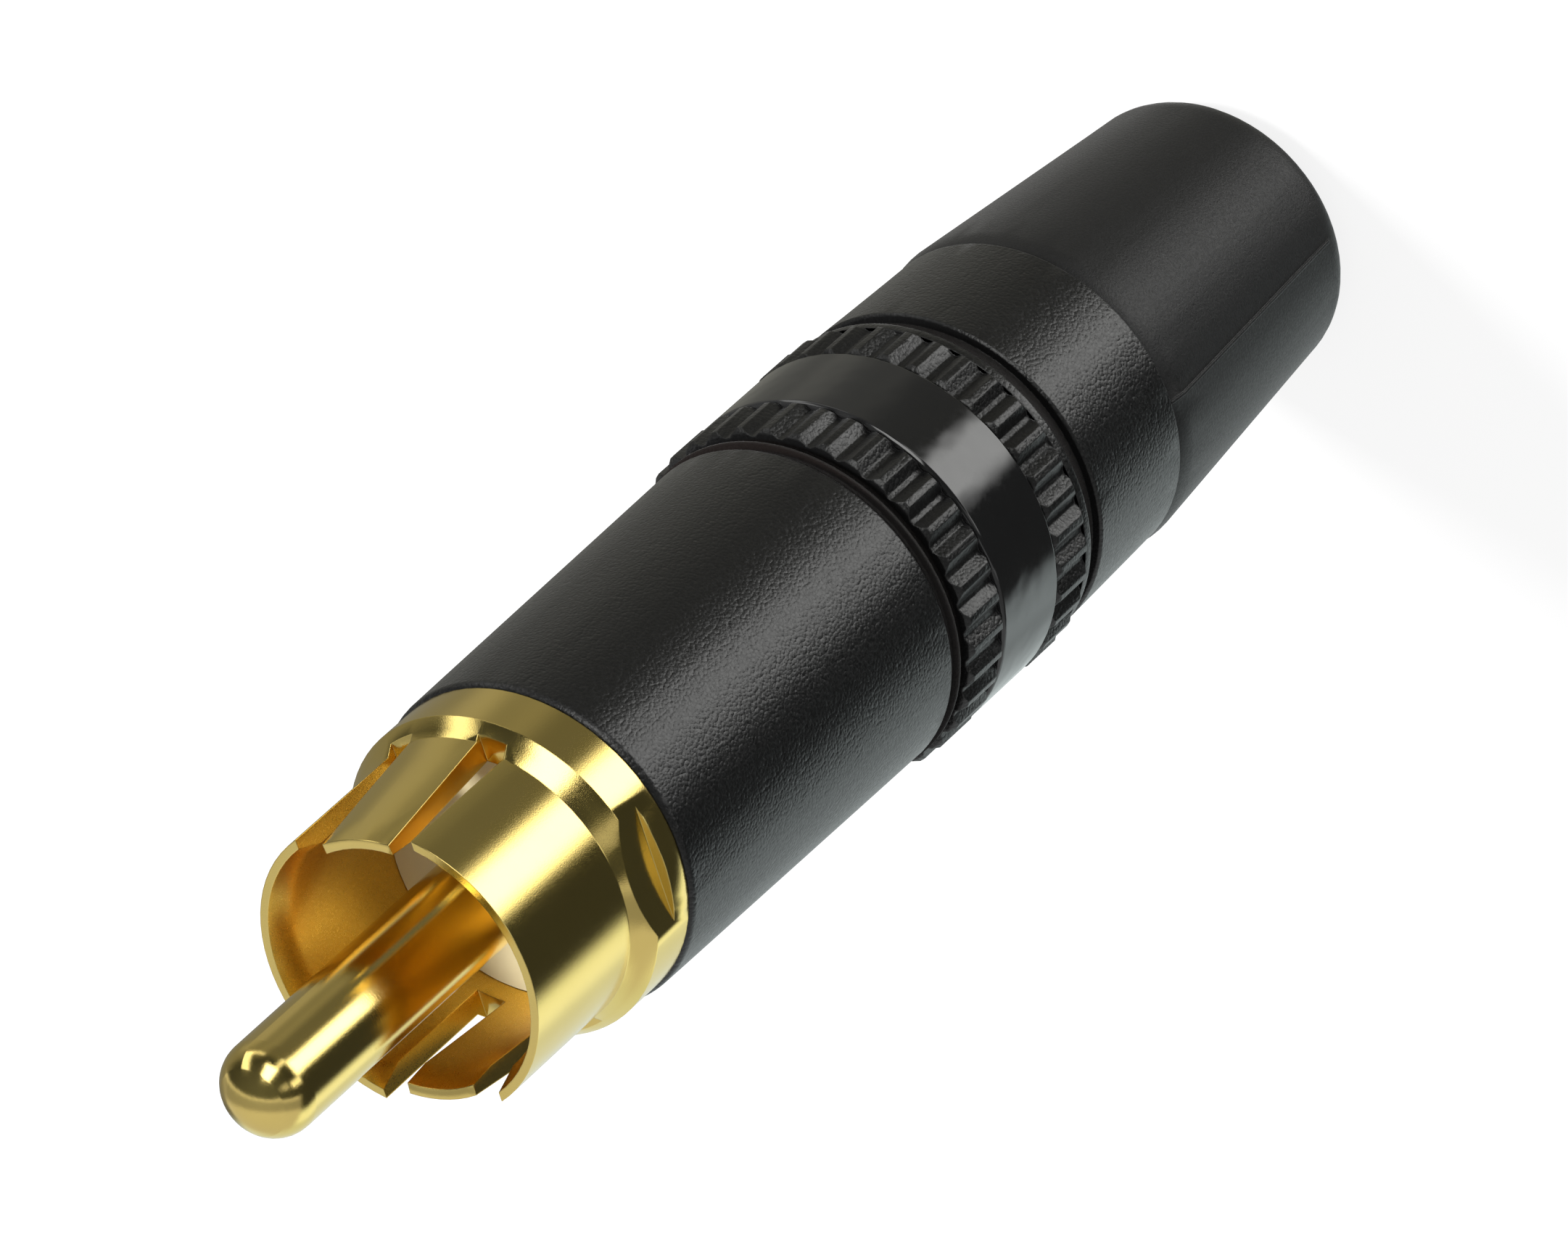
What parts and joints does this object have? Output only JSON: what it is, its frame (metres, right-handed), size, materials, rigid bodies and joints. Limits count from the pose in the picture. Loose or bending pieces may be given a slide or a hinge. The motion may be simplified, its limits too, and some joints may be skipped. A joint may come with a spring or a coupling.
{
  "type": "rca plug",
  "caption": "Cable-mount RCA plug: gold pin in a slotted spring ring, knurled black screw-on shell with a coding ring, chuck clamp and tapered boot with a cable opening.",
  "frame": {"origin": "centre of the boot's rear face, on which the plug stands", "axes": "+Z along the plug's axis towards the pin's tip; spring tongues at +X and -X, wrench flats at +Y and -Y"},
  "size_m": [0.0124, 0.0124, 0.0566],
  "materials": {
    "gold_plate": "bright gold plating on turned brass",
    "shell_paint": "black fine-grained semi-gloss paint on metal",
    "ring_plastic": "polished black plastic",
    "boot_plastic": "matt black moulded plastic",
    "insulator_plastic": "pale moulded plastic",
    "chuck_plastic": "pale moulded plastic"
  },
  "bodies": {
    "shell": {"shell": "shell_paint", "coding_ring": "ring_plastic", "boot": "boot_plastic"},
    "chuck": {"chuck": "chuck_plastic"},
    "insert": {"shield_contact": "gold_plate", "insulator": "insulator_plastic", "center_pin": "gold_plate", "ground_lug": "gold_plate"}
  },
  "joints": [
    {"name": "chuck_slide", "type": "slide", "parent": "shell", "child": "chuck", "axis": [0, 0, 1], "range_m": [0, 0.0045]},
    {"name": "insert_turn", "type": "hinge", "parent": "chuck", "child": "insert", "pos_m": [0, 0, 0.04095], "axis": [0, 0, 1], "range_deg": [0, 2160]}
  ],
  "couplings": [
    {"joint": "insert_turn", "follows": "chuck_slide", "rad_per_m": 8377.6}
  ]
}
